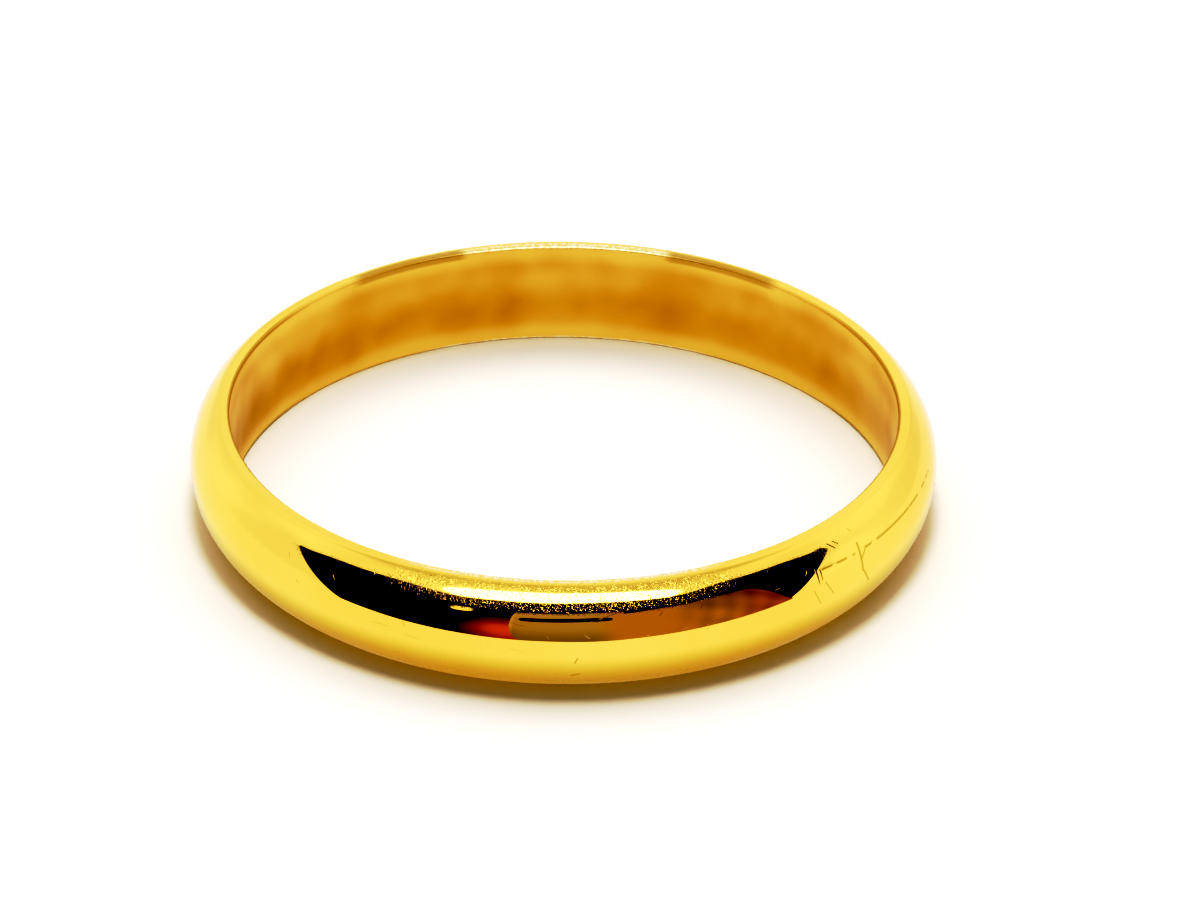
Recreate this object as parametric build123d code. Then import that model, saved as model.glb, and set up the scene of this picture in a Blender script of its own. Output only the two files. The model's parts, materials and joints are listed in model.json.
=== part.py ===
from build123d import *
import os
from math import pi

# A plain wedding band: one seamless ring with a D-shaped section, flat against
# the finger and domed outside. The finger hole runs along Z and the origin is
# its centre, so the band lies on the face at z = -band_width / 2.

# Driving dimensions, in millimetres
ring_size = 57.0  # ISO 8653 ring size: the finger hole's circumference
band_width = 3.0  # along the finger
crown_wall = 1.1  # from the finger hole to the top of the dome
side_wall = 0.32  # from the finger hole to where dome and side would meet
shoulder_round = 0.28  # rounding between the dome and each side
hole_edge_round = 0.08  # easing between each side and the finger hole

# Sizes that follow from them
hole_radius = ring_size / (2 * pi)
half_width = band_width / 2
crown_radius = hole_radius + crown_wall
corner_radius = hole_radius + side_wall
dome_rise = crown_wall - side_wall
dome_arc_radius = (half_width**2 + dome_rise**2) / (2 * dome_rise)


def band_section():
    """The D-shaped section, drawn with radius along X and finger axis along Z."""
    crown = (crown_radius, 0)
    upper_corner = (corner_radius, half_width)
    lower_corner = (corner_radius, -half_width)
    upper_hole_edge = (hole_radius, half_width)
    lower_hole_edge = (hole_radius, -half_width)
    with BuildSketch(Plane.XZ) as sketch:
        with BuildLine():
            Polyline(upper_corner, upper_hole_edge, lower_hole_edge, lower_corner)
            ThreePointArc(lower_corner, crown, upper_corner)
        make_face()
        shoulders = sketch.vertices().group_by(Axis.X)[-1]
        fillet(shoulders, radius=shoulder_round)
        hole_edges = sketch.vertices().group_by(Axis.X)[0]
        fillet(hole_edges, radius=hole_edge_round)
    return sketch.sketch


def make_band():
    """The whole band: its section turned once round the finger axis."""
    band = revolve(band_section(), axis=Axis.Z)
    band.label = "band"
    return band


def flat_side_width(band):
    """The width of the flat ring that the band lies on."""
    lowest_face = band.faces().sort_by(Axis.Z)[0]
    rims = lowest_face.edges().filter_by(GeomType.CIRCLE).sort_by(SortBy.RADIUS)
    return rims[-1].radius - rims[0].radius


band = make_band()
os.makedirs("parts", exist_ok=True)
export_step(band, "parts/band.step")

print(f"finger hole diameter {2 * hole_radius:.3f} mm, outside {2 * crown_radius:.3f} mm")
print(f"straight wall of the hole {band_width - 2 * hole_edge_round:.2f} mm long")
print(f"dome arc radius {dome_arc_radius:.3f} mm, volume {band.volume:.2f} mm3")
print(f"flat side {flat_side_width(band):.3f} mm wide")
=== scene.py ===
# %% [markdown]
# # A polished gold wedding band
# A plain wedding band is one closed ring of gold. It needs only one surface, so
# nearly all of the work is in the polish: a mirror shows what stands round it,
# and the wear shows as fine scratches and rubbed edges.
#
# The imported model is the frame. It gives the band's true size and the middle of
# its finger hole, which is the origin, with the hole along Z. Everything below
# is in metres in that same frame, so nothing has to be fitted by hand.

# %% The frame
import json
from math import pi, radians

import bpy
import numpy as np
from mathutils import Matrix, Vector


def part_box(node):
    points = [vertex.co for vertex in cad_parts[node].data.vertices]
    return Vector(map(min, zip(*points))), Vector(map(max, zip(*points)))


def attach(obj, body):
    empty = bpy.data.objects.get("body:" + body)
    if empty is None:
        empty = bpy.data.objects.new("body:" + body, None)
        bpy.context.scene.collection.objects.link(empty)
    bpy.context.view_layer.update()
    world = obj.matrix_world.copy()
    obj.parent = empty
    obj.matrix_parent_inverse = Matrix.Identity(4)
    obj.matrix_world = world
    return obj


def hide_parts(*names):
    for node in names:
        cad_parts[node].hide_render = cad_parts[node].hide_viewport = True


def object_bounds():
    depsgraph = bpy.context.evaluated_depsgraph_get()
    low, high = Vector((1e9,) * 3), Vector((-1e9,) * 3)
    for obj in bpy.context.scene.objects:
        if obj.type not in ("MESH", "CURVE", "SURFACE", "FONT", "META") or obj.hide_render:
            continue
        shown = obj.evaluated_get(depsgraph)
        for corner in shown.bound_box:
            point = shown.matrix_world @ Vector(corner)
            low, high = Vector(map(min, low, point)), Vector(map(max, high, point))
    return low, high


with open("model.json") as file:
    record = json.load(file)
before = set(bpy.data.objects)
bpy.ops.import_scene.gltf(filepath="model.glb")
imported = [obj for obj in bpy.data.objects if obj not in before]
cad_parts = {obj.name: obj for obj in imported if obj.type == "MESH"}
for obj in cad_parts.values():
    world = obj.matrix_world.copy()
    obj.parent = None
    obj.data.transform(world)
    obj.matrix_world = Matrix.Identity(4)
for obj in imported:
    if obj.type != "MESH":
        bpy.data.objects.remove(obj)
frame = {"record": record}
cad_low, cad_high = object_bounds()
MM = 0.001
print("CAD box in mm:", [round(v / MM, 3) for v in (*cad_low, *cad_high)])

# %% [markdown]
# ## The camera
# A small bright thing is best seen from well back through a long lens, so that
# the near side of the ring isn't swollen. A camera can be turned with angles,
# but its three axes say the same thing more plainly: forward goes from its
# place to a point near the middle of the band, and right and up follow. A band
# lying on a table is seldom quite level in the view, so there is a slight roll.

# %% The camera
CAMERA_DISTANCE = 137.6 * MM
CAMERA_HEIGHT_ANGLE = radians(30.303)
CAMERA_ROLL = radians(0.8035)
LOOK_AT = np.array([0.991, 0.067, 0.0]) * MM
SENSOR_WIDTH_MM = 36
LENS_MM = 151.2


def unit(vector):
    """The vector divided by its own length."""
    vector = np.asarray(vector, float)
    return vector / np.linalg.norm(vector)


def make_camera():
    """A camera at the given distance and height angle, turned to LOOK_AT.

    Its right axis is forward x Z, and its up axis is right x forward. Then
    right and up are both turned about forward by the roll.
    """
    place = CAMERA_DISTANCE * np.array(
        [0, -np.cos(CAMERA_HEIGHT_ANGLE), np.sin(CAMERA_HEIGHT_ANGLE)]
    )
    forward = unit(LOOK_AT - place)
    right = unit(np.cross(forward, (0, 0, 1)))
    up = np.cross(right, forward)
    c, s = np.cos(CAMERA_ROLL), np.sin(CAMERA_ROLL)
    right, up = c * right + s * up, c * up - s * right
    matrix = np.eye(4)
    matrix[:3] = np.column_stack([right, up, -forward, place])
    made = bpy.data.objects.new("camera", bpy.data.cameras.new("camera"))
    made.matrix_world = Matrix(matrix)
    made.data.sensor_width = SENSOR_WIDTH_MM
    made.data.lens = LENS_MM
    made.data.clip_start = 1 * MM
    made.data.clip_end = 3
    bpy.context.scene.collection.objects.link(made)
    bpy.context.scene.camera = made
    return made


camera = make_camera()
print("camera at", [round(v / MM, 1) for v in camera.matrix_world.translation], "mm")

# %% [markdown]
# ## The band's section
# The real band is made from D-shaped wire or turned on a lathe: flat against
# the finger, domed outside, with rounded shoulders and an eased edge at the
# hole. A bevelled curve or a lathe-like Screw modifier could turn such a
# section. One closed line of (radius, height) points is chosen instead, because
# it puts points exactly where the small roundings need them.

# %% The section
HOLE_RADIUS = frame["record"]["mounts"][0]["dims"]["r_mm"] * MM
HALF_WIDTH = (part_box("band")[1].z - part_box("band")[0].z) / 2
CROWN_WALL = 1.1 * MM
SIDE_WALL = 0.32 * MM
SHOULDER_ROUND = 0.28 * MM
HOLE_EDGE_ROUND = 0.08 * MM
DOME_RISE = CROWN_WALL - SIDE_WALL
DOME_ARC = (HALF_WIDTH**2 + DOME_RISE**2) / (2 * DOME_RISE)
# How many points each part of the section gets.
DOME_POINTS = 49
SHOULDER_POINTS = 11
SIDE_POINTS = 4
EDGE_POINTS = 8
WALL_POINTS = 14


def arc(centre_r, centre_z, radius, start, stop, count):
    """Points centre + radius * (cos t, sin t), for count angles t in degrees."""
    t = np.radians(np.linspace(start, stop, count))
    return np.column_stack([centre_r + radius * np.cos(t), centre_z + radius * np.sin(t)])


def band_section():
    """The closed D, anticlockwise from the lower end of the dome.

    The dome is part of a circle through the crown and both corners. Each
    shoulder is a smaller circle that touches the dome from inside and the flat
    side: its centre is one shoulder radius below the side, and at the dome's
    radius less its own from the dome's centre.
    """
    dome_r = HOLE_RADIUS + CROWN_WALL - DOME_ARC
    shoulder_z = HALF_WIDTH - SHOULDER_ROUND
    shoulder_r = dome_r + np.sqrt((DOME_ARC - SHOULDER_ROUND) ** 2 - shoulder_z**2)
    rim = np.degrees(np.arctan2(shoulder_z, shoulder_r - dome_r))
    edge_r = HOLE_RADIUS + HOLE_EDGE_ROUND
    edge_z = HALF_WIDTH - HOLE_EDGE_ROUND
    side = np.linspace(shoulder_r, edge_r, SIDE_POINTS)
    upper = np.concatenate(
        [
            arc(shoulder_r, shoulder_z, SHOULDER_ROUND, rim, 90, SHOULDER_POINTS)[1:],
            np.column_stack([side, np.full(SIDE_POINTS, HALF_WIDTH)])[1:],
            arc(edge_r, edge_z, HOLE_EDGE_ROUND, 90, 180, EDGE_POINTS)[1:],
        ]
    )
    wall = np.linspace(edge_z, -edge_z, WALL_POINTS)[1:-1]
    return np.concatenate(
        [
            arc(dome_r, 0, DOME_ARC, -rim, rim, DOME_POINTS),
            upper,
            np.column_stack([np.full(len(wall), HOLE_RADIUS), wall]),
            upper[::-1] * (1, -1),
        ]
    )


section = band_section()
steps = np.linalg.norm(np.diff(section, axis=0), axis=1)
along_section = np.concatenate([[0], np.cumsum(steps)])
CROWN_RADIUS = section[:, 0].max()
print(len(section), "section points, crown at", round(CROWN_RADIUS / MM, 3), "mm")

# %% [markdown]
# ## The hand polish
# A dome that was polished by hand against a wheel is never a perfect one. It
# rolls by a few thousandths of a millimetre, and a mirror shows even that:
# edges reflected in it waver. A noise bump could do it, but real waves in the
# surface look right from every side, so the dome is lowered by a sum of slow
# waves. It is only ever lowered, as polishing only ever takes gold away.

# %% The polish waves
WAVE_HEIGHT = 0.0006 * MM
WAVE_COUNT = 14
WAVE_SEED = 11
WAVES_ROUND = (4, 30)
WAVES_ACROSS_PER_MM = (1.2, 3.4)


def polish_waves(angle, across):
    """How deep the polish has cut at each point, always zero or more.

    It is a sum of waves cos(k * angle + p) * cos(q * across + s), with k a
    whole number of waves round the band, raised so that the least is zero.
    """
    rng = np.random.default_rng(WAVE_SEED)
    depth = np.zeros(np.broadcast(angle, across).shape)
    for _ in range(WAVE_COUNT):
        k = rng.integers(*WAVES_ROUND)
        q = rng.uniform(*WAVES_ACROSS_PER_MM) / MM
        p, s = rng.uniform(0, 2 * np.pi, 2)
        depth += np.cos(k * angle + p) * np.cos(q * across + s)
    return WAVE_HEIGHT * (depth - depth.min())


round_band = np.linspace(0, 2 * np.pi, 400)[:, None]
deepest = polish_waves(round_band, along_section[None, :]).max()
print("the polish cuts up to", round(deepest / MM, 4), "mm deep")

# %% [markdown]
# ## The band
# The section is turned about the finger's axis in 720 steps, fine enough for a
# mirror to look round. The mesh also gets a map in millimetres: the way round
# the crown and the way along the section. The scratches are drawn on that map,
# so they keep their real size and follow the surface over the shoulder.

# %% The band's mesh
AROUND = 720
WAVE_FADE = 0.6 * CROWN_WALL  # off the hole's wall, where the waves are full


def turned_surface(name, line, across):
    """The closed line turned about Z, as a mesh with its map.

    Point (i, j) is (r_j cos a_i, r_j sin a_i, z_j), with r_j less the polish's
    depth where the line is off the hole's wall.
    """
    angle = np.linspace(0, 2 * np.pi, AROUND, endpoint=False) + np.pi / 2
    a, r = np.meshgrid(angle, line[:, 0], indexing="ij")
    z = np.broadcast_to(line[:, 1], a.shape)
    s = np.broadcast_to(across, a.shape)
    domed = np.clip((r - HOLE_RADIUS) / WAVE_FADE, 0, 1)
    r = r - domed * polish_waves(a, s)
    points = np.stack([r * np.cos(a), r * np.sin(a), z], axis=-1).reshape(-1, 3)
    count = len(line)
    i, j = np.meshgrid(np.arange(AROUND), np.arange(count), indexing="ij")
    i2, j2 = (i + 1) % AROUND, (j + 1) % count
    corners = [i * count + j, i2 * count + j, i2 * count + j2, i * count + j2]
    mesh = bpy.data.meshes.new(name)
    mesh.from_pydata(points, [], np.stack(corners, -1).reshape(-1, 4))
    mesh.polygons.foreach_set("use_smooth", np.ones(len(mesh.polygons), bool))
    edges = np.append(across, across[-1] + np.linalg.norm(line[0] - line[-1]))
    u = np.stack([i, i + 1, i + 1, i], -1) * (2 * np.pi * line[:, 0].max() / AROUND / MM)
    v = np.stack([edges[j], edges[j], edges[j + 1], edges[j + 1]], -1) / MM
    uv = mesh.uv_layers.new(name="wrap_mm")
    uv.uv.foreach_set("vector", np.stack([u, v], -1).astype(np.float32).ravel())
    mesh.update()
    made = bpy.data.objects.new(name, mesh)
    bpy.context.scene.collection.objects.link(made)
    return made


band = turned_surface("polished_band", section, along_section)
print(len(band.data.polygons) * 2, "triangles")
print("the line of the section is", round(along_section[-1] / MM, 2), "mm long")

# %% [markdown]
# ## Building a material from nodes
# A material is a small network: nodes pass numbers to each other and the last
# one feeds the shader. Clicking it together is good for a first look, but a
# script stays readable only if each step is one short line. These helpers make
# one node each and hand back its output.

# %% Node helpers


def add(tree, kind, **settings):
    """A new node of that kind with its settings, such as operation="ADD"."""
    made = tree.nodes.new(kind)
    for key, value in settings.items():
        setattr(made, key, value)
    return made


def feed(tree, socket, value):
    """Links value to the socket if it is an output, or sets it if it is a number."""
    if isinstance(value, bpy.types.NodeSocket):
        tree.links.new(value, socket)
    else:
        socket.default_value = value


def calc(tree, operation, *values, clamp=False):
    """A Math node's result."""
    made = add(tree, "ShaderNodeMath", operation=operation, use_clamp=clamp)
    for socket, value in zip(made.inputs, values):
        feed(tree, socket, value)
    return made.outputs[0]


def chain(tree, operation, values):
    """One operation carried through a list, such as a + b + c."""
    result = values[0]
    for value in values[1:]:
        result = calc(tree, operation, result, value)
    return result


def times(tree, *values):
    """The product of all the values."""
    return chain(tree, "MULTIPLY", values)


def length(tree, x, y):
    """The square root of x * x + y * y."""
    return calc(tree, "SQRT", calc(tree, "ADD", times(tree, x, x), times(tree, y, y)))


# %% Ramps, blotches and colours


def ramp(tree, value, low, high, to_low=0.0, to_high=1.0):
    """value carried smoothly from low..high to to_low..to_high."""
    made = add(tree, "ShaderNodeMapRange", interpolation_type="SMOOTHSTEP")
    names = ("Value", "From Min", "From Max", "To Min", "To Max")
    for key, given in zip(names, (value, low, high, to_low, to_high)):
        feed(tree, made.inputs[key], given)
    return made.outputs[0]


def noise(tree, vector, scale, detail, seed):
    """Soft random blotches from 0 to 1, scale of them to a unit of the vector."""
    made = add(tree, "ShaderNodeTexNoise", noise_dimensions="4D")
    names = ("Vector", "W", "Scale", "Detail")
    for key, given in zip(names, (vector, seed, scale, detail)):
        feed(tree, made.inputs[key], given)
    return made.outputs["Fac"]


def apart(tree, vector):
    """The three parts of a vector."""
    made = add(tree, "ShaderNodeSeparateXYZ")
    feed(tree, made.inputs[0], vector)
    return made.outputs


def mixed(tree, amount, first, second):
    """first * (1 - amount) + second * amount, each a colour or a colour's output."""
    made = add(tree, "ShaderNodeMix", data_type="RGBA")
    feed(tree, made.inputs[0], amount)
    for socket, colour in ((made.inputs[6], first), (made.inputs[7], second)):
        feed(tree, socket, (*colour, 1) if isinstance(colour, tuple) else colour)
    return made.outputs[2]


def new_material(name):
    """An empty material, with its tree and its output's surface socket."""
    material = bpy.data.materials.new(name)
    material.use_nodes = True
    material.node_tree.nodes.clear()
    out = add(material.node_tree, "ShaderNodeOutputMaterial")
    return material, material.node_tree, out.inputs["Surface"]


print("node helpers ready, in Blender", bpy.app.version_string)

# %% [markdown]
# ## Where each finish lies
# One piece of gold has several finishes. The wall of the hole is satin from the
# finger, the dome is mirror polished, and the shoulders are rubbed, most of all
# at the two opposite stretches that a hand knocks against things. A separate
# material for each would leave hard borders, so soft masks are worked out from
# where a point is: its height, and how far outside the hole's wall it is.

# %% Masks
# Where the masks begin and end: millimetres off the hole's wall, millimetres
# above or below the middle, and how squarely a stretch faces front or back.
WALL_EDGE = (0.03, 0.08)
SHOULDER_WEAR = (0.86, 1.18)
FRONT_BACK_STRETCH = (0.87, 0.94)


def places(tree):
    """Where a point is on the band, in millimetres, and the masks that follow.

    radius is the distance from the axis, wall is how far outside the hole's
    wall, and tall is the height above or below the middle.
    """
    spot = {"wrap": add(tree, "ShaderNodeUVMap", uv_map="wrap_mm").outputs[0]}
    spot["place"] = add(tree, "ShaderNodeTexCoord").outputs["Object"]
    x, y, z = (calc(tree, "DIVIDE", part, MM) for part in apart(tree, spot["place"]))
    radius = length(tree, x, y)
    spot.update(y=y, z=z, tall=calc(tree, "ABSOLUTE", z))
    spot["wall"] = calc(tree, "SUBTRACT", radius, HOLE_RADIUS / MM)
    spot["inside"] = ramp(tree, spot["wall"], *WALL_EDGE, 1.0, 0.0)
    spot["outside"] = calc(tree, "SUBTRACT", 1.0, spot["inside"])
    spot["sideways"] = calc(tree, "DIVIDE", calc(tree, "ABSOLUTE", x), radius)
    facing = calc(tree, "DIVIDE", calc(tree, "ABSOLUTE", y), radius)
    spot["knocked"] = ramp(tree, facing, *FRONT_BACK_STRETCH)
    wear = calc(tree, "MULTIPLY_ADD", spot["knocked"], 0.9, 0.1)
    rising = ramp(tree, spot["tall"], *SHOULDER_WEAR)
    spot["shoulder"] = times(tree, rising, spot["outside"], wear)
    spot["patch"] = ramp(tree, noise(tree, spot["place"], 260, 2.0, 5.0), 0.40, 0.62)
    spot["cloud"] = noise(tree, spot["place"], 400, 2.0, 9.0)
    return spot


worn_width = HALF_WIDTH / MM - SHOULDER_WEAR[0]
print("shoulder wear starts", round(worn_width, 2), "mm from each side")

# %% [markdown]
# ## The colour of worn gold
# High-carat gold is a deep yellow. It can't be one flat colour: the alloy shows
# slightly redder and paler areas. The wall of the hole is painted a browner
# yellow as painted shade, darkest along its middle, with blotches, and lighter
# towards both edges as a painted reflection.
# The land beside the hole is painted paler in its front and back stretches, a
# painted highlight with speckles, and in the far stretches of that rim and in a
# thin line at the sides it is painted darker, a painted reflection.

# %% The colour
GOLD_YELLOW = (0.99, 0.76, 0.315)
GOLD_RED = (0.97, 0.705, 0.275)
# Painted shade: the wall's colours are darker than the gold's, and its lip colour is
# lighter as a painted reflection.
WALL_SHADED = (0.82, 0.575, 0.215)
WALL_SHADE_AND_BLOTCH = (0.59, 0.375, 0.105)
WALL_LIP_SHEEN = (0.92, 0.67, 0.29)
# A painted highlight for the land beside the hole.
LAND_PAINTED_HIGHLIGHT = (1.0, 0.93, 0.74)
# A painted reflection that darkens parts of the rim.
RIM_PAINTED_DARK = (0.60, 0.44, 0.17)
NICK_DIRT = (0.50, 0.37, 0.11)
WALL_SHADE_HEIGHT = -0.45  # the wall is brownest this far from its middle, in mm


def painted_wall_shade(tree, spot):
    """The hole's wall in painted shade, darker in blotches and near its middle,
    and lighter near both edges as a painted reflection.
    """
    # Painted shade: darker near the middle of the wall; the blotches are random tone.
    off_middle = calc(tree, "ABSOLUTE", calc(tree, "SUBTRACT", spot["z"], WALL_SHADE_HEIGHT))
    middle = ramp(tree, off_middle, 0.05, 1.05, 0.56, 0.0)
    shade_and_blotch = calc(tree, "ADD", ramp(tree, spot["cloud"], 0.3, 0.7, 0.0, 0.48), middle)
    # Painted reflection: lighter towards both edges of the wall.
    lip_sheen = ramp(tree, spot["tall"], 0.85, 1.42, 0.0, 0.75)
    return mixed(tree, lip_sheen, mixed(tree, shade_and_blotch, WALL_SHADED, WALL_SHADE_AND_BLOTCH), WALL_LIP_SHEEN)


def painted_dark_rim(tree, spot):
    """Where the rim is painted darker as a painted reflection: two stretches of the
    far side's upper land, and a thin line beside the hole at the left and right."""
    stretch = times(
        tree,
        ramp(tree, spot["sideways"], 0.30, 0.34),
        ramp(tree, spot["sideways"], 0.62, 0.67, 1.0, 0.0),
        ramp(tree, spot["y"], -2, 2),
        ramp(tree, spot["z"], 1.24, 1.34),
        ramp(tree, spot["wall"], 0.18, 0.26, 1.0, 0.0),
    )
    seam = times(
        tree,
        ramp(tree, spot["tall"], 1.36, 1.42),
        ramp(tree, spot["wall"], 0.05, 0.09, 1.0, 0.0),
        ramp(tree, spot["sideways"], 0.75, 0.92),
    )
    return calc(tree, "MAXIMUM", stretch, seam)


def gold_colour(tree, spot, dirt):
    """Tone, then the wall's painted shade, the land's painted highlight, the rim's
    painted reflection and dirt in the nicks.
    """
    blotch = ramp(tree, noise(tree, spot["place"], 170, 3.0, 1.0), 0.3, 0.7)
    tone = mixed(tree, blotch, GOLD_YELLOW, GOLD_RED)
    tone = mixed(tree, spot["inside"], tone, painted_wall_shade(tree, spot))
    # Painted highlight: the land beside the hole is made pale and speckled in the front
    # and back stretches.
    land = times(
        tree,
        ramp(tree, spot["wall"], 0.16, 0.25, 1.0, 0.0),
        ramp(tree, spot["tall"], 1.40, 1.47),
        spot["knocked"],
    )
    speckle = ramp(tree, noise(tree, spot["wrap"], 7.0, 1.0, 6.0), 0.42, 0.58, 0.25, 0.75)
    tone = mixed(tree, times(tree, land, speckle), tone, LAND_PAINTED_HIGHLIGHT)
    # Painted reflection: the rim is darker in two far stretches and in a thin line at the
    # sides.
    tone = mixed(tree, times(tree, painted_dark_rim(tree, spot), 0.85), tone, RIM_PAINTED_DARK)
    return mixed(tree, dirt, tone, NICK_DIRT)


print("gold reflects red, green and blue by", GOLD_YELLOW, "to", GOLD_RED)

# %% [markdown]
# ## Scratches
# A worn band has hundreds of hair scratches and a few deeper ones. Drawing each
# by hand isn't possible, and stretched noise looks like brushed metal. A random
# pattern of cells is used instead: every cell holds at most one scratch with
# its own direction, length and depth, so they cross and stop as real ones do.

# %% Scratches in cells
HAIR_CELL = 0.9
HAIR_SHARE = 0.55


def scratches(tree, wrap, cell, half_width, long, direction, spread, keep, seed):
    """Slightly bowed scratches, one to a cell of the given size, from 0 to 1.

    Sizes are in millimetres and directions in degrees on the map. In a cell,
    (x, y) is the way from the cell's point, turned by direction
    plus or minus half the spread. The scratch is where |y + bow * x * x| is
    under half_width and |x| is under half its length. Only the share keep of
    the cells has one.
    """
    moved = add(tree, "ShaderNodeVectorMath", operation="ADD")
    feed(tree, moved.inputs[0], wrap)
    moved.inputs[1].default_value = (seed * 7.3, seed * 3.1, 0)
    cells = add(tree, "ShaderNodeTexVoronoi", voronoi_dimensions="2D")
    feed(tree, cells.inputs["Vector"], moved.outputs[0])
    cells.inputs["Scale"].default_value = 1 / cell
    local = add(tree, "ShaderNodeVectorMath", operation="SUBTRACT")
    feed(tree, local.inputs[0], moved.outputs[0])
    feed(tree, local.inputs[1], cells.outputs["Position"])
    chance = add(tree, "ShaderNodeSeparateColor")
    feed(tree, chance.inputs[0], cells.outputs["Color"])
    red, green, blue = chance.outputs
    turned = add(tree, "ShaderNodeVectorRotate", rotation_type="Z_AXIS")
    feed(tree, turned.inputs["Vector"], local.outputs[0])
    least = radians(direction - spread / 2)
    angle = calc(tree, "MULTIPLY_ADD", red, radians(spread), least)
    feed(tree, turned.inputs["Angle"], angle)
    x, y, _ = apart(tree, turned.outputs[0])
    bow = calc(tree, "MULTIPLY_ADD", blue, 0.6 / long, -0.3 / long)
    off = calc(tree, "ABSOLUTE", calc(tree, "ADD", y, times(tree, x, x, bow)))
    line = ramp(tree, off, 0.0, half_width, 1.0, 0.0)
    ends = ramp(tree, calc(tree, "ABSOLUTE", x), long * 0.25, long * 0.5, 1.0, 0.0)
    kept = calc(tree, "LESS_THAN", green, keep)
    depth = calc(tree, "MULTIPLY_ADD", blue, 0.7, 0.3)
    return times(tree, line, ends, kept, depth)


def worn_marks(tree, spot):
    """Hair scratches in patches, rubbed and grainy shoulders, and stray nicks."""
    wrap, patch = spot["wrap"], spot["patch"]
    hair = scratches(tree, wrap, HAIR_CELL, 0.006, 0.8, 25, 80, HAIR_SHARE, 1)
    hair = times(tree, hair, calc(tree, "MULTIPLY_ADD", patch, 0.32, 0.08))
    rubbed = scratches(tree, wrap, 0.10, 0.008, 0.11, 75, 130, 0.85, 2)
    grain = scratches(tree, wrap, 0.055, 0.010, 0.05, 0, 360, 0.8, 3)
    rubbed = times(tree, calc(tree, "MAXIMUM", rubbed, grain), spot["shoulder"])
    stray = times(tree, scratches(tree, wrap, 0.55, 0.008, 0.22, 60, 160, 0.35, 4), patch)
    return chain(tree, "MAXIMUM", [hair, rubbed, stray]), rubbed


gold_area = 2 * pi * CROWN_RADIUS * along_section[-1] / MM**2
print("about", int(gold_area / HAIR_CELL**2 * HAIR_SHARE), "hair scratches")

# %% [markdown]
# ## Marks of its own
# Some marks are too big to be one of hundreds: a forked gouge, short nicks in
# a row, and a long scratch round the right side that comes and goes. They are
# drawn one by one. Carving them into the mesh would need far more points, so
# each is a line on the map whose depth comes from the distance to it.

# %% Drawn marks
# Each mark: where it starts and stops, in degrees round from the front and
# degrees up the dome, and half its width in millimetres.
NICKS = [
    ((50.9, 31), (50.8, 8), 0.065),
    ((50.8, 8), (52.3, -6), 0.048),
    ((50.9, 17), (52.6, 25), 0.040),
    ((2.3, -7), (1.9, -12), 0.034),
    ((1.4, -28), (2.7, -26), 0.031),
    ((41.2, 28), (41.4, 16), 0.036),
    ((42.0, 27), (42.1, 18), 0.031),
    ((42.6, 15), (44.0, 2), 0.025),
    ((40.2, 12), (41.4, -2), 0.022),
    ((45.2, 43), (46.3, 37), 0.025),
    ((46.4, 43), (47.2, 39), 0.022),
]
LONG_SCRATCH = [
    ((42.4, 26.5), (49.5, 24.2), 0.062),
    ((49.5, 24.2), (58.0, 23.6), 0.060),
    ((58.0, 23.6), (78.0, 23.0), 0.060),
]


def dome_point(around, up):
    """A place on the dome, as the map gives it, in millimetres.

    around is in degrees from the front towards +X, and up is the tilt of the
    surface in degrees above the middle of the dome.
    """
    turn = radians((around - 180) % 360)
    middle = along_section[DOME_POINTS // 2]
    return turn * CROWN_RADIUS / MM, (middle + DOME_ARC * radians(up)) / MM


def drawn_line(tree, wrap, start, stop, half_width):
    """A straight mark from start to stop, from 0 to 1 by the distance to it.

    The nearest point of the mark is start + t * run, where t is the place's
    projection on the run, held between 0 and 1.
    """
    (u0, v0), (u1, v1) = dome_point(*start), dome_point(*stop)
    run = np.array([u1 - u0, v1 - v0])
    per_u, per_v = run / float(run @ run)
    u, v, _ = apart(tree, wrap)
    du, dv = calc(tree, "SUBTRACT", u, u0), calc(tree, "SUBTRACT", v, v0)
    t = calc(tree, "ADD", times(tree, du, per_u), times(tree, dv, per_v), clamp=True)
    off_u = calc(tree, "SUBTRACT", du, times(tree, t, run[0]))
    off_v = calc(tree, "SUBTRACT", dv, times(tree, t, run[1]))
    return ramp(tree, length(tree, off_u, off_v), 0.0, half_width, 1.0, 0.0)


def own_marks(tree, wrap):
    """All the drawn marks together. The long scratch is broken up by blotches."""
    nicks = [drawn_line(tree, wrap, *mark) for mark in NICKS]
    runs = [drawn_line(tree, wrap, *mark) for mark in LONG_SCRATCH]
    scratch = chain(tree, "MAXIMUM", runs)
    comes_and_goes = ramp(tree, noise(tree, wrap, 3.4, 0.0, 4.0), 0.36, 0.48)
    return chain(tree, "MAXIMUM", nicks + [times(tree, scratch, comes_and_goes)])


print(len(NICKS), "nicks and a long scratch of", len(LONG_SCRATCH), "runs")

# %% [markdown]
# ## The gold
# Now the finishes come together in one shader. Gold is a metal, so Metallic is
# one and the colour is the colour of its mirror image. Roughness is almost
# nothing on the dome, satin inside, and higher under the belly, where the dome
# rubs on tables. Marks are slightly rougher and are cut in by bump, inwards.

# %% The gold
MARK_DEPTH = 0.0042 * MM
NICK_DEPTH = 0.0022 * MM
DENT_DEPTH = 0.02 * MM


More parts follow.
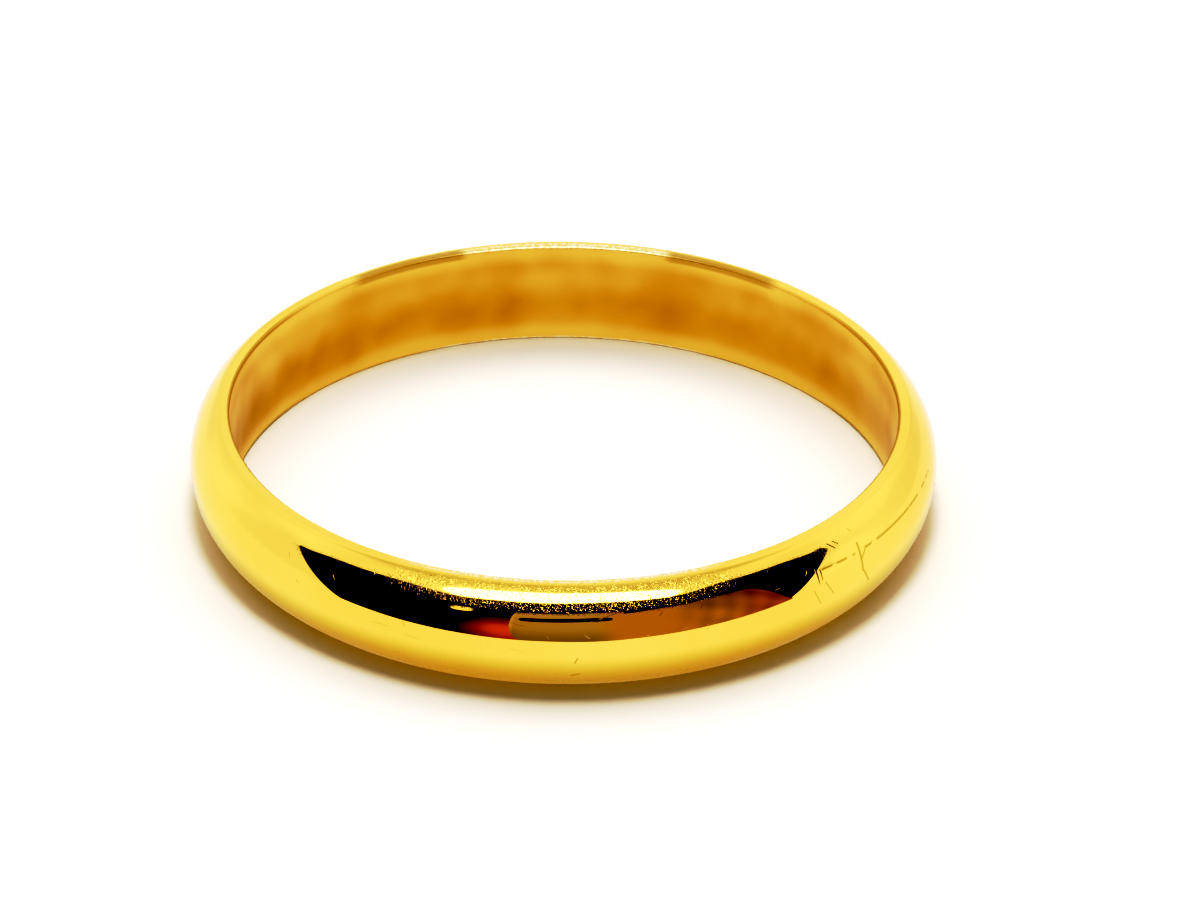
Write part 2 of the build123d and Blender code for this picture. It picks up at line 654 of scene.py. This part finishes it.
def gold_roughness(tree, spot, marks, nicks):
    """A smudged mirror, plus satin inside, rubbed shoulders and belly, and marks."""
    smudge = noise(tree, spot["place"], 700, 4.0, 2.0)
    rough = ramp(tree, smudge, 0.35, 0.75, 0.02, 0.055)
    satin = ramp(tree, spot["cloud"], 0.25, 0.75, 0.30, 0.42)
    belly = times(tree, ramp(tree, spot["z"], -1.2, -0.4, 1.0, 0.0), spot["outside"])
    rubbed = ramp(tree, smudge, 0.35, 0.65, 0.16, 0.28)
    inside, shoulder = spot["inside"], spot["shoulder"]
    extra = ((inside, satin), (shoulder, 0.04), (belly, rubbed), (marks, 0.10))
    for mask, amount in extra:
        rough = calc(tree, "MULTIPLY_ADD", mask, amount, rough)
    return calc(tree, "MULTIPLY_ADD", nicks, 0.25, rough, clamp=True)


def cut_in(tree, height, depth, below=None, invert=True):
    """A bump of that height, on top of the bump below it."""
    bump = add(tree, "ShaderNodeBump", invert=invert)
    bump.inputs["Distance"].default_value = depth
    feed(tree, bump.inputs["Height"], height)
    if below is not None:
        feed(tree, bump.inputs["Normal"], below)
    return bump.outputs[0]


def gold():
    """Deep yellow gold with a used polish."""
    material, tree, surface = new_material("polished_gold")
    shader = add(tree, "ShaderNodeBsdfPrincipled")
    shader.inputs["Metallic"].default_value = 1.0
    spot = places(tree)
    marks, rubbed = worn_marks(tree, spot)
    nicks = own_marks(tree, spot["wrap"])
    dirt = calc(tree, "MULTIPLY_ADD", rubbed, 0.30, times(tree, nicks, 0.7), clamp=True)
    feed(tree, shader.inputs["Base Color"], gold_colour(tree, spot, dirt))
    feed(tree, shader.inputs["Roughness"], gold_roughness(tree, spot, marks, nicks))
    swell = times(tree, spot["cloud"], spot["inside"])
    dents = cut_in(tree, swell, DENT_DEPTH, invert=False)
    normal = cut_in(tree, nicks, NICK_DEPTH, cut_in(tree, marks, MARK_DEPTH, dents))
    feed(tree, shader.inputs["Normal"], normal)
    feed(tree, surface, shader.outputs[0])
    return material


band.data.materials.append(gold())
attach(band, "root")
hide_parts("band")
print("gold made of", len(band.data.materials[0].node_tree.nodes), "nodes")

# %% [markdown]
# ## The table
# The band lies on a plain white sheet. In a real studio the sheet is so bright
# that it comes out pure white, except in the warm shadow at the band's foot.
# The gold's mirror needs one more thing: by its own rays the sheet is a steady
# white, darker and warmer near the foot, where it is lit only by light off the
# gold. One shader asks what kind of ray has arrived and gives it one or other.

# %% A sheet of points


def grid_object(name, points, material):
    """A grid of points, rows by columns, as a mesh that isn't part of the band."""
    rows, columns = points.shape[:2]
    i, j = np.meshgrid(np.arange(rows - 1), np.arange(columns - 1), indexing="ij")
    first = i * columns + j
    quads = np.stack([first, first + 1, first + columns + 1, first + columns], -1)
    mesh = bpy.data.meshes.new(name)
    mesh.from_pydata(points.reshape(-1, 3), [], quads.reshape(-1, 4))
    mesh.materials.append(material)
    mesh.update()
    made = bpy.data.objects.new(name, mesh)
    bpy.context.scene.collection.objects.link(made)
    return made


# %% The white table
FLOOR_REACH = 0.12
TABLE_WHITE = (0.88, 0.857, 0.825)
MIRRORED_WHITE = (0.99, 0.99, 0.99)
MIRRORED_FOOT = (0.61, 0.555, 0.41)
HOLE_SHADE = (7.8, 9.1)
FOOT_SHADE = (9.3, 11.5)


def white_table():
    """A matt white, with its mirrored self for glossy rays.

    away is the distance from the band's axis in millimetres. Mirrored, the
    sheet is the foot's colour under the band and shades to white on both sides,
    over HOLE_SHADE and FOOT_SHADE.
    """
    material, tree, surface = new_material("white_table")
    shader = add(tree, "ShaderNodeBsdfPrincipled")
    shader.inputs["Base Color"].default_value = (*TABLE_WHITE, 1)
    shader.inputs["Roughness"].default_value = 0.9
    shader.inputs["Specular IOR Level"].default_value = 0.0
    x, y, _ = apart(tree, add(tree, "ShaderNodeTexCoord").outputs["Object"])
    away = calc(tree, "DIVIDE", length(tree, x, y), MM)
    under_hole = calc(tree, "LESS_THAN", away, HOLE_RADIUS / MM + 0.1)
    in_hole = times(tree, under_hole, ramp(tree, away, *HOLE_SHADE, 1.0, 0.55))
    open_table = calc(tree, "MAXIMUM", ramp(tree, away, *FOOT_SHADE), in_hole)
    mirrored = add(tree, "ShaderNodeEmission")
    shade = mixed(tree, open_table, MIRRORED_FOOT, MIRRORED_WHITE)
    feed(tree, mirrored.inputs["Color"], shade)
    chosen = add(tree, "ShaderNodeMixShader")
    path = add(tree, "ShaderNodeLightPath")
    feed(tree, chosen.inputs[0], path.outputs["Is Glossy Ray"])
    feed(tree, chosen.inputs[1], shader.outputs[0])
    feed(tree, chosen.inputs[2], mirrored.outputs[0])
    feed(tree, surface, chosen.outputs[0])
    return material


def white_sheet():
    """A flat square sheet at the height of the band's underside."""
    line = np.linspace(-FLOOR_REACH, FLOOR_REACH, 3)
    x, y = np.meshgrid(line, line)
    points = np.stack([x, y, np.full(x.shape, cad_low.z)], -1)
    return grid_object("floor", points, white_table())


table_height = round(cad_low.z / MM, 3)
print(white_sheet().name, "at", table_height, "mm,", 2 * FLOOR_REACH, "m across")

# %% [markdown]
# ## Cards for the mirror to show
# A polished dome looks black and gold only because something dark stands in
# front of it. Here that is a set of bent cards: a dark one in front, patches
# of grey, tan and rose on it, and a lamp's bright strip higher up. They could
# be real boxes and lamps, but those would also throw shadows. So each card is
# seen by mirrors alone, and shines with a colour painted on its own points.

# %% The cards' finish


def card_glow():
    """Shines with the colour painted on the mesh.

    The table's own light rays pass through it, so that no coloured light
    reaches the table by way of the gold.
    """
    material, tree, surface = new_material("card_glow")
    shine = add(tree, "ShaderNodeEmission")
    painted = add(tree, "ShaderNodeAttribute", attribute_name="shine")
    feed(tree, shine.inputs["Color"], painted.outputs["Color"])
    clear = add(tree, "ShaderNodeBsdfTransparent")
    depth = add(tree, "ShaderNodeLightPath").outputs["Diffuse Depth"]
    chosen = add(tree, "ShaderNodeMixShader")
    feed(tree, chosen.inputs[0], calc(tree, "GREATER_THAN", depth, 0.5))
    feed(tree, chosen.inputs[1], shine.outputs[0])
    feed(tree, chosen.inputs[2], clear.outputs[0])
    feed(tree, surface, chosen.outputs[0])
    return material


CARD_GLOW = card_glow()


def only_reflected(thing):
    """Hides the card from everything but mirrors."""
    thing.visible_camera = False
    thing.visible_diffuse = False
    thing.visible_shadow = False
    thing.visible_transmission = False
    thing.visible_volume_scatter = False
    return thing


# %% A bent card


def standing_card(name, start, stop, bottom, top, distance, colour, columns=97, rows=9):
    """A bent card between two directions in degrees. 0 is towards the camera.

    Point (t, d) stands at (reach sin d, -reach cos d, low + t (high - low)),
    where low, high and reach are functions of d in millimetres, and its colour
    is a function of d and t.
    """
    d = np.linspace(start, stop, columns)[None, :]
    t = np.linspace(0, 1, rows)[:, None]
    low, high, reach = bottom(d) * MM, top(d) * MM, distance(d) * MM
    a = np.radians(d)
    x, y, z = reach * np.sin(a), -reach * np.cos(a), low + t * (high - low)
    points = np.broadcast_arrays(x, y, z)
    card = grid_object(name, np.stack(points, -1), CARD_GLOW)
    shine = np.stack(np.broadcast_arrays(*colour(d, t), 1.0 + 0 * d * t), -1)
    layer = card.data.color_attributes.new("shine", "FLOAT_COLOR", "POINT")
    layer.data.foreach_set("color", shine.astype(np.float32).ravel())
    print(name, "from", start, "to", stop, "degrees,", rows * columns, "points")
    return only_reflected(card)


def smooth(value, low, high):
    """0 below low, 1 above high, and t * t * (3 - 2 t) between."""
    t = np.clip((value - low) / (high - low), 0, 1)
    return t * t * (3 - 2 * t)


def plain(colour):
    """A colour that is the same all over a card."""
    return lambda d, t: colour


def level(height):
    """A height or distance that is the same all along a card."""
    return lambda d: height + 0 * d


# %% [markdown]
# ## The dark card
# It stands close in front and bends back at both sides. Its lower edge rises
# towards the ends, so its image on the dome tapers to a point on each side.

# %% The dark card
CARD_DARK = (0.03, 0.026, 0.024)


def front_distance(d):
    """How far the card stands from the axis: 17 mm, bending back at the sides."""
    return 17 + 3 * np.minimum(np.abs(d) / 50, 1.4) ** 2


def front_foot(d):
    """On the table in the middle, rising from 51 degrees out."""
    return -1.5 + 9.8 * np.maximum((np.abs(d) - 51) / 21, 0) ** 1.2


def front_top(d):
    """Higher at both sides, and most on the right, then falling at the ends."""
    rise = (2.6 + 0.014 * d) * smooth(np.abs(d), 26, 46)
    return 9.3 + rise - 2.0 * smooth(np.abs(d), 60, 74)


standing_card(
    "front_card", -72, 73, front_foot, front_top, front_distance, plain(CARD_DARK)
)

# %% [markdown]
# ## The coloured patches
# On the dark card are a grey panel with rounded corners on its left, a slot in
# it and a small bright dash, a rose area on the left and a streaky tan one on
# the right. Each is a card of its own, a fraction of a millimetre nearer than
# the one behind it, because a painted shape on one card would need a very fine
# grid to have clean edges.

# %% Their colours
ROSE = (0.62, 0.25, 0.18)


def tan_colour(d, t):
    """Tan, with slanting streaks, turning to dark rose to the right."""
    streak = 0.5 + 0.5 * np.sin(0.31 * d - 7.0 * t) * np.sin(0.83 * d + 3.0 * t + 1.0)
    outer = smooth(d, 20, 34)
    light = 0.95 - 0.20 * streak * outer - 0.22 * smooth(t, 0.3, 0.9) * smooth(d, 22, 34)
    rose = smooth(d, 34, 48)
    red, green, blue = 0.57 - 0.04 * rose, 0.44 - 0.13 * rose, 0.29 - 0.06 * rose
    return red * light, green * light, blue * light


def panel_colour(d, t):
    """Grey, darker towards its foot, with a bright edge, turning into the tan."""
    line = smooth(t, 0.86, 0.93) * (1 - smooth(t, 0.97, 1.0)) * (1 - smooth(d, 2, 9))
    left_edge = 0.12 * (1 - smooth(d, -10.6, -9.8))
    grey = 0.36 + 0.16 * smooth(t, 0.0, 0.5) + 0.30 * line + left_edge
    tan = smooth(d, 6, 12.5)
    pairs = zip((grey, 0.90 * grey, 0.96 * grey), tan_colour(d, t))
    return tuple((1 - tan) * a + tan * b for a, b in pairs)


def rose_colour(d, t):
    """Black on the left, rose on the right, and brightest near the foot."""
    up = 1 - 0.75 * smooth(t, 0.5, 1.0)
    foot = 1 - 0.35 * smooth(0.4 - t, 0, 0.4)
    light = smooth(d, -25, -12) * up * foot
    return tuple(dark + rose * light for dark, rose in zip(CARD_DARK, ROSE))


# %% Their outlines


def rounded(d, start, stop, power):
    """1 across the middle of start..stop, falling round to 0 at both ends."""
    away = np.abs((2 * d - start - stop) / (stop - start))
    return np.sqrt(np.maximum(1 - away**power, 0))


def corner(d, start, size):
    """A quarter circle: 0 at start, 1 from size degrees on."""
    away = np.clip(1 - (d - start) / size, 0, 1)
    return np.sqrt(1 - away**2)


def nearer(layer):
    """The front card's distance, less a tenth of a millimetre for each layer."""
    return lambda d: front_distance(d) - 0.1 * layer


def small_patch(name, start, stop, bottom, top, colour, power):
    """A patch whose two ends are rounded, in front of all the others."""
    middle, tall = (bottom + top) / 2, (top - bottom) / 2
    return standing_card(
        name,
        start,
        stop,
        lambda d: middle - tall * rounded(d, start, stop, power),
        lambda d: middle + tall * rounded(d, start, stop, power),
        nearer(4),
        colour,
    )


def tan_top(d):
    """Rises to the right, then falls to the table at the right end."""
    rise = 0.7 * smooth(d, 12, 24) + 0.9 * smooth(d, 24, 38)
    return 4.6 + rise - 7.5 * smooth(d, 43, 54)


# %% The patches
PANEL_LEFT = -10.8
PANEL_MIDDLE = 1.7

standing_card(
    "rose_patch",
    -27,
    -7,
    level(-1.7),
    lambda d: 1.6 + 1.9 * smooth(d, -25, -14),
    nearer(1),
    rose_colour,
)
standing_card("tan_patch", 8, 53, level(-1.55), tan_top, nearer(1.5), tan_colour)
standing_card(
    "grey_patch",
    PANEL_LEFT,
    13,
    lambda d: PANEL_MIDDLE - 3.25 * corner(d, PANEL_LEFT, 2.8),
    lambda d: PANEL_MIDDLE + 3.5 * corner(d, PANEL_LEFT, 1.2),
    nearer(2),
    panel_colour,
)
small_patch("dark_slot", -9.0, 10.4, 2.9, 3.7, plain((0.01, 0.01, 0.01)), 14)
small_patch("light_dash", -24.2, -19.0, 3.95, 5.15, plain((1.0, 0.98, 0.9)), 4)

# %% [markdown]
# ## The lamp's strip
# The long white glint along the top of the dome is a lamp behind the camera. It
# is one more card, farther off and much brighter than white.

# %% The lamp's strip
STRIP_END = 41
STRIP_MIDDLE = 65
STRIP_DISTANCE = 60
LAMP_WHITE = (4.2, 4.1, 4.0)


def strip_foot(d):
    """The strip's lower edge, rounded up to its middle line at both ends."""
    return STRIP_MIDDLE - 17 * rounded(d, -STRIP_END, STRIP_END, 6)


def strip_top(d):
    """The strip's upper edge: tallest in the middle, rounded at both ends."""
    taper = 41 - 24 * (np.abs(d) / STRIP_END) ** 1.6
    return STRIP_MIDDLE + taper * rounded(d, -STRIP_END, STRIP_END, 6)


standing_card(
    "lamp_strip",
    -STRIP_END,
    STRIP_END,
    strip_foot,
    strip_top,
    level(STRIP_DISTANCE),
    plain(LAMP_WHITE),
    columns=161,
)

# %% [markdown]
# ## The tent
# Small shiny things are shown off in a tent of white cloth, which is all that
# the sides of the dome reflect. The cloth isn't even: it is less bright
# overhead, and folds make it slightly cloudy. The light that falls on the table
# comes mostly from a window high behind, so the band's shadow comes forward.
# Mirrors and the camera get the cloth, and matt surfaces get the window.

# %% The tent
CLOTH_WHITE = 0.96
WINDOW_LIGHT = 2.6


def tent():
    """White all round, by direction (x, y, z).

    What mirrors see is CLOTH_WHITE, less overhead and behind, plus folds. What
    matt things feel is a dim base that grows from front to back, and the
    window: high z and y above zero.
    """
    world = bpy.data.worlds.new("tent")
    bpy.context.scene.world = world
    world.use_nodes = True
    tree = world.node_tree
    direction = add(tree, "ShaderNodeTexCoord").outputs["Generated"]
    _, y, z = apart(tree, direction)
    overhead = ramp(tree, z, 0.78, 0.92, 0.0, -0.27)
    behind = ramp(tree, y, 0.45, 0.88, 0.0, -0.05)
    folds = ramp(tree, noise(tree, direction, 2.2, 1.0, 3.0), 0.35, 0.65, -0.03, 0.07)
    seen = chain(tree, "ADD", [CLOTH_WHITE, overhead, behind, folds])
    window = times(tree, ramp(tree, y, 0.0, 0.35), ramp(tree, z, 0.56, 0.74))
    base = ramp(tree, y, -0.6, 0.0, 0.14, 0.42)
    felt = calc(tree, "MULTIPLY_ADD", window, WINDOW_LIGHT, base)
    chosen = add(tree, "ShaderNodeMix", data_type="FLOAT")
    path = add(tree, "ShaderNodeLightPath")
    feed(tree, chosen.inputs[0], path.outputs["Is Diffuse Ray"])
    feed(tree, chosen.inputs[2], seen)
    feed(tree, chosen.inputs[3], felt)
    background = tree.nodes["Background"]
    background.inputs["Color"].default_value = (1, 1, 1, 1)
    feed(tree, background.inputs["Strength"], chosen.outputs[0])
    return world


print("tent made of", len(tent().node_tree.nodes), "nodes")

# %% The lamp overhead
LAMP_ACROSS = 0.06
LAMP_HEIGHT = 0.20
LAMP_WATTS = 0.165


def soft_box():
    """A small round soft lamp straight above, which mirrors don't see."""
    lamp = bpy.data.lights.new("soft_box", "AREA")
    lamp.shape = "DISK"
    lamp.size = LAMP_ACROSS
    lamp.energy = LAMP_WATTS
    made = bpy.data.objects.new("soft_box", lamp)
    made.location = (0.0, 0.0, LAMP_HEIGHT)
    made.visible_glossy = False
    bpy.context.scene.collection.objects.link(made)
    return made


print("soft box", round(soft_box().location.z / MM), "mm above the middle of the band")

# %% [markdown]
# ## Contrast
# Catalogue pictures of jewellery have strong contrast: blacks are pure and the
# table is pure white. The plain Standard view keeps gold's colour as it is, and
# a gentle S-shaped curve adds the contrast.

# %% Contrast
CONTRAST_CURVE = ((0.2, 0.02), (0.4, 0.19), (0.6, 0.57), (0.8, 0.82))

view = bpy.context.scene.view_settings
view.view_transform = "Standard"
view.use_curve_mapping = True
for light_in, light_out in CONTRAST_CURVE:
    view.curve_mapping.curves[3].points.new(light_in, light_out)
view.curve_mapping.update()
print("contrast curve with", len(view.curve_mapping.curves[3].points), "points")
